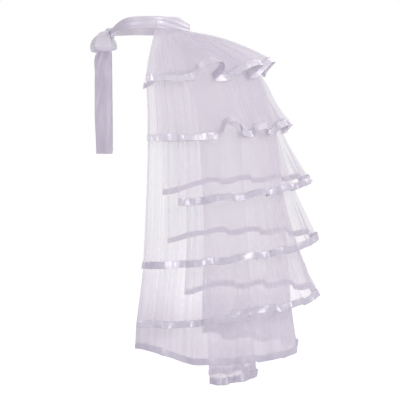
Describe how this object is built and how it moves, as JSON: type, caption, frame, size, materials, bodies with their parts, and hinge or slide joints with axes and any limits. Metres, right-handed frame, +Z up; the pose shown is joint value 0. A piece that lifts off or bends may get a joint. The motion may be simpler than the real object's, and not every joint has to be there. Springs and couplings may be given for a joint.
{
  "type": "bustle skirt",
  "caption": "Tie-on bustle skirt: nested tulle tiers with satin hem ribbons and an inner train hang from a satin sash knotted in front; open at the front.",
  "frame": {"origin": "centre of the waistband's ring, at half the band's height, where the wearer's waist holds it", "axes": "+Z up along the wearer's back, -Y towards the front of the wearer, where the bow is, +X towards the wearer's left"},
  "size_m": [0.536, 0.5761, 0.9142],
  "materials": {
    "tulle": "fine matt net, white with a faint lavender tint, see-through in one layer",
    "satin_ribbon": "white satin ribbon with a soft sheen",
    "satin_sash": "white satin with a soft sheen, creased along its length"
  },
  "bodies": {
    "root": {"waistband": "satin_sash", "bow_knot": "satin_sash", "bow_loop_left": "satin_sash", "bow_loop_right": "satin_sash", "tie_end_left": "satin_sash", "tie_end_right": "satin_sash", "tier_1": "tulle", "tier_2": "tulle", "tier_3": "tulle", "tier_4": "tulle", "tier_5": "tulle", "tier_6": "tulle", "train": "tulle", "hem_ribbon_tier_1": "satin_ribbon", "hem_ribbon_tier_2": "satin_ribbon", "hem_ribbon_tier_3": "satin_ribbon", "hem_ribbon_tier_4": "satin_ribbon", "hem_ribbon_tier_5": "satin_ribbon", "hem_ribbon_tier_6": "satin_ribbon", "hem_ribbon_train": "satin_ribbon"}
  },
  "joints": []
}
